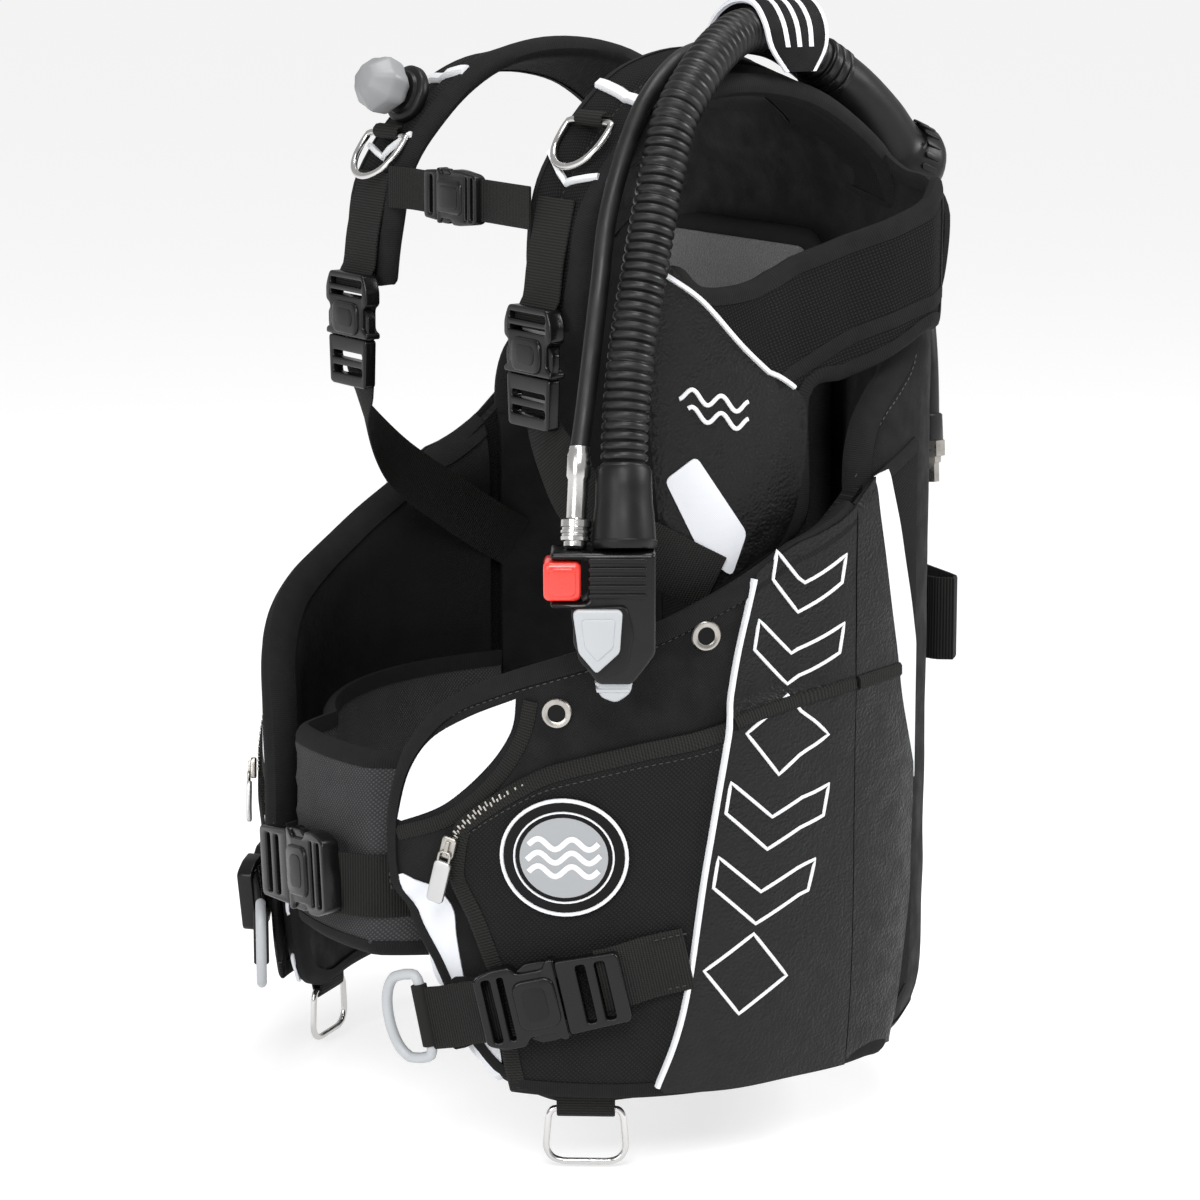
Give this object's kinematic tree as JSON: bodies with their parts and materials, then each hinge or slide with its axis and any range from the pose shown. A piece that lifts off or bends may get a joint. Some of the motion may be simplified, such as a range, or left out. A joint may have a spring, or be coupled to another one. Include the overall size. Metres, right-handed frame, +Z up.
{
  "type": "buoyancy compensator vest",
  "caption": "Diver's jacket-style buoyancy vest with air cell, front lobes with weight pouches, cummerbund, buckled shoulder straps, power inflator on a corrugated hose and tank band.",
  "frame": {"origin": "centre of the flat tank pad on the rear of the backpack plate", "axes": "+X to the wearer's left, +Y backwards out of the tank pad, +Z up"},
  "size_m": [0.4381, 0.4389, 0.6709],
  "materials": {
    "black_fabric": "matte woven nylon",
    "grained_skin": "pebbled, slightly glossy",
    "grey_cordura": "coarse weave",
    "webbing": "ribbed webbing",
    "black_plastic": "moulded gloss",
    "pale_plastic": "satin light grey",
    "red_plastic": "gloss red",
    "rubber": "semi-gloss",
    "steel": "polished",
    "chrome": "bright plated"
  },
  "bodies": {
    "harness": {"air_cell": "black_fabric", "back_pad": "black_fabric", "backpack_plate": "black_plastic", "tank_band": "webbing", "cam_plate": "steel", "cummerbund": "grey_cordura", "left_waist_belt": "webbing", "right_waist_belt": "webbing", "waist_socket": "black_plastic", "left_chest_strap": "webbing", "right_chest_strap": "webbing", "chest_socket": "black_plastic", "hose_elbow": "rubber", "corrugated_hose": "rubber", "lp_hose": "rubber", "lp_fitting": "chrome", "right_dump_valve": "black_plastic", "left_chest_panel": "grained_skin", "left_shoulder_pad": "black_fabric", "left_shoulder_webbing": "webbing", "left_shoulder_socket": "black_plastic", "left_side_webbing": "webbing", "right_shoulder_pad": "black_fabric", "right_shoulder_webbing": "webbing", "right_shoulder_socket": "black_plastic", "right_side_webbing": "webbing"},
    "left_lobe": {"left_lobe": "black_fabric", "left_cargo_pocket": "black_fabric", "left_weight_plug": "black_plastic", "inflator_body": "black_plastic", "hose_cuff": "rubber", "quick_coupling": "chrome"},
    "right_lobe": {"right_lobe": "black_fabric", "right_cargo_pocket": "black_fabric", "right_weight_plug": "black_plastic"},
    "left_weight": {"left_weight_pouch": "black_fabric", "left_weight_socket": "black_plastic"},
    "left_pull_ring": {"left_pull_ring": "pale_plastic"},
    "left_bottom_ring": {"left_bottom_ring": "steel"},
    "left_zip_pull": {"left_zip_pull": "pale_plastic"},
    "left_shoulder_ring": {"left_shoulder_ring": "steel"},
    "left_shoulder_plug": {"left_shoulder_plug": "black_plastic"},
    "right_weight": {"right_weight_pouch": "black_fabric", "right_weight_socket": "black_plastic"},
    "right_pull_ring": {"right_pull_ring": "pale_plastic"},
    "right_bottom_ring": {"right_bottom_ring": "steel"},
    "right_zip_pull": {"right_zip_pull": "pale_plastic"},
    "right_shoulder_ring": {"right_shoulder_ring": "steel"},
    "right_shoulder_plug": {"right_shoulder_plug": "black_plastic"},
    "cam_lever": {"cam_lever": "black_plastic"},
    "carry_handle": {"carry_handle": "webbing"},
    "hose_flap": {"hose_flap": "black_fabric"},
    "waist_plug": {"waist_plug": "black_plastic"},
    "chest_plug": {"chest_plug": "black_plastic"},
    "inflate_button": {"inflate_button": "red_plastic"},
    "deflate_button": {"deflate_button": "pale_plastic"},
    "coupling_sleeve": {"coupling_sleeve": "chrome"},
    "dump_knob": {"right_dump_knob": "pale_plastic"}
  },
  "joints": [
    {"name": "left_lobe_swing", "type": "hinge", "parent": "harness", "child": "left_lobe", "pos_m": [0.2094, -0.1447, -0.2], "axis": [0, 0, 1], "range_deg": [0, 35]},
    {"name": "right_lobe_swing", "type": "hinge", "parent": "harness", "child": "right_lobe", "pos_m": [-0.2094, -0.1447, -0.2], "axis": [0, 0, -1], "range_deg": [0, 35]},
    {"name": "left_weight_pull", "type": "hinge", "parent": "left_lobe", "child": "left_weight", "pos_m": [0, -0.186, -0.29], "axis": [0, 0, -1], "range_deg": [0, 18]},
    {"name": "right_weight_pull", "type": "hinge", "parent": "right_lobe", "child": "right_weight", "pos_m": [0, -0.186, -0.29], "axis": [0, 0, 1], "range_deg": [0, 18]},
    {"name": "left_pull_ring_swing", "type": "hinge", "parent": "left_weight", "child": "left_pull_ring", "pos_m": [0.10008, -0.37265, -0.31], "axis": [-0.1983, -0.1063, 0.9744], "range_deg": [-10, 60]},
    {"name": "right_pull_ring_swing", "type": "hinge", "parent": "right_weight", "child": "right_pull_ring", "pos_m": [-0.10008, -0.37265, -0.31], "axis": [-0.1983, 0.1063, -0.9744], "range_deg": [-10, 60]},
    {"name": "left_bottom_ring_swing", "type": "hinge", "parent": "left_lobe", "child": "left_bottom_ring", "pos_m": [0.15361, -0.29557, -0.366], "axis": [-0.5807, -0.8141, 0], "range_deg": [-25, 70]},
    {"name": "right_bottom_ring_swing", "type": "hinge", "parent": "right_lobe", "child": "right_bottom_ring", "pos_m": [-0.15361, -0.29557, -0.366], "axis": [-0.5807, 0.8141, 0], "range_deg": [-25, 70]},
    {"name": "left_zip_run", "type": "hinge", "parent": "left_lobe", "child": "left_zip_pull", "pos_m": [0.05783, -0.17019, -0.24871], "axis": [-0.6699, -0.0167, 0.7423], "range_deg": [0, 50]},
    {"name": "right_zip_run", "type": "hinge", "parent": "right_lobe", "child": "right_zip_pull", "pos_m": [-0.05783, -0.17019, -0.24871], "axis": [-0.6699, 0.0167, -0.7423], "range_deg": [0, 50]},
    {"name": "left_shoulder_ring_swing", "type": "hinge", "parent": "harness", "child": "left_shoulder_ring", "pos_m": [0.103, -0.259, 0.2035], "axis": [-1, 0, 0], "range_deg": [0, 80]},
    {"name": "right_shoulder_ring_swing", "type": "hinge", "parent": "harness", "child": "right_shoulder_ring", "pos_m": [-0.103, -0.27408, 0.18355], "axis": [-1, 0, 0], "range_deg": [0, 80]},
    {"name": "cam_lever_swing", "type": "hinge", "parent": "harness", "child": "cam_lever", "pos_m": [-0.032, 0.0342, -0.115], "axis": [0, 0, 1], "range_deg": [0, 110]},
    {"name": "carry_handle_fold", "type": "hinge", "parent": "harness", "child": "carry_handle", "pos_m": [0, -0.0065, 0.105], "axis": [-1, 0, 0], "range_deg": [0, 60]},
    {"name": "hose_flap_lift", "type": "hinge", "parent": "harness", "child": "hose_flap", "pos_m": [0.079, -0.141, 0.239], "axis": [-0.0599, -0.9982, 0], "range_deg": [0, 80]},
    {"name": "waist_plug_release", "type": "slide", "parent": "harness", "child": "waist_plug", "axis": [-0.9921, 0.0694, -0.1045], "range_m": [0, 0.028]},
    {"name": "chest_plug_release", "type": "slide", "parent": "harness", "child": "chest_plug", "axis": [-1, 0, 0], "range_m": [0, 0.022]},
    {"name": "left_shoulder_plug_release", "type": "slide", "parent": "harness", "child": "left_shoulder_plug", "axis": [0, 0, -1], "range_m": [0, 0.026]},
    {"name": "right_shoulder_plug_release", "type": "slide", "parent": "harness", "child": "right_shoulder_plug", "axis": [0, 0, -1], "range_m": [0, 0.026]},
    {"name": "inflate_press", "type": "slide", "parent": "left_lobe", "child": "inflate_button", "axis": [0.5446, 0.8387, 0], "range_m": [0, 0.003], "stiffness_N_per_m": 400, "springref_m": -0.003},
    {"name": "deflate_press", "type": "slide", "parent": "left_lobe", "child": "deflate_button", "axis": [-0.8387, 0.5446, 0], "range_m": [0, 0.003], "stiffness_N_per_m": 400, "springref_m": -0.003},
    {"name": "coupling_sleeve_pull", "type": "slide", "parent": "left_lobe", "child": "coupling_sleeve", "axis": [0, 0, 1], "range_m": [0, 0.0035], "stiffness_N_per_m": 500, "springref_m": -0.003},
    {"name": "dump_knob_pull", "type": "slide", "parent": "harness", "child": "dump_knob", "axis": [0.1002, -0.9419, 0.3206], "range_m": [0, 0.012], "stiffness_N_per_m": 150, "springref_m": -0.012}
  ]
}
